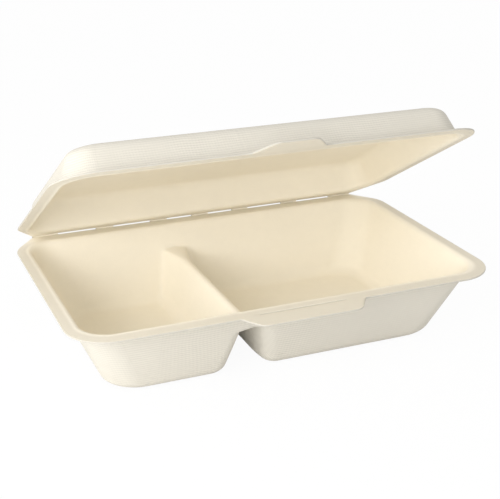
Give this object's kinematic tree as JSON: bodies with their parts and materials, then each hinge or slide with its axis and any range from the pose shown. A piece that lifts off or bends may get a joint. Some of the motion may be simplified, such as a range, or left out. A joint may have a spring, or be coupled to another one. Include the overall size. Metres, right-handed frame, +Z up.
{
  "type": "two-compartment meal box",
  "caption": "Clamshell meal box moulded from sugarcane pulp, with a divided tray and a shallow lid that swings on a perforated fold.",
  "frame": {"origin": "on the surface that the tray stands on, at the middle of the tray's outline, under the large compartment's flat foot", "axes": "+X across both compartments towards the large one, -Y towards the front tabs, +Z up"},
  "size_m": [0.25, 0.1744, 0.135],
  "materials": {
    "pulp": "matte"
  },
  "bodies": {
    "tray_body": {"tray": "pulp"},
    "lid_body": {"lid": "pulp"}
  },
  "joints": [
    {"name": "lid_hinge", "type": "hinge", "parent": "tray_body", "child": "lid_body", "pos_m": [0, 0.081, 0.04565], "axis": [-1, 0, 0], "range_deg": [-30, 150]}
  ]
}
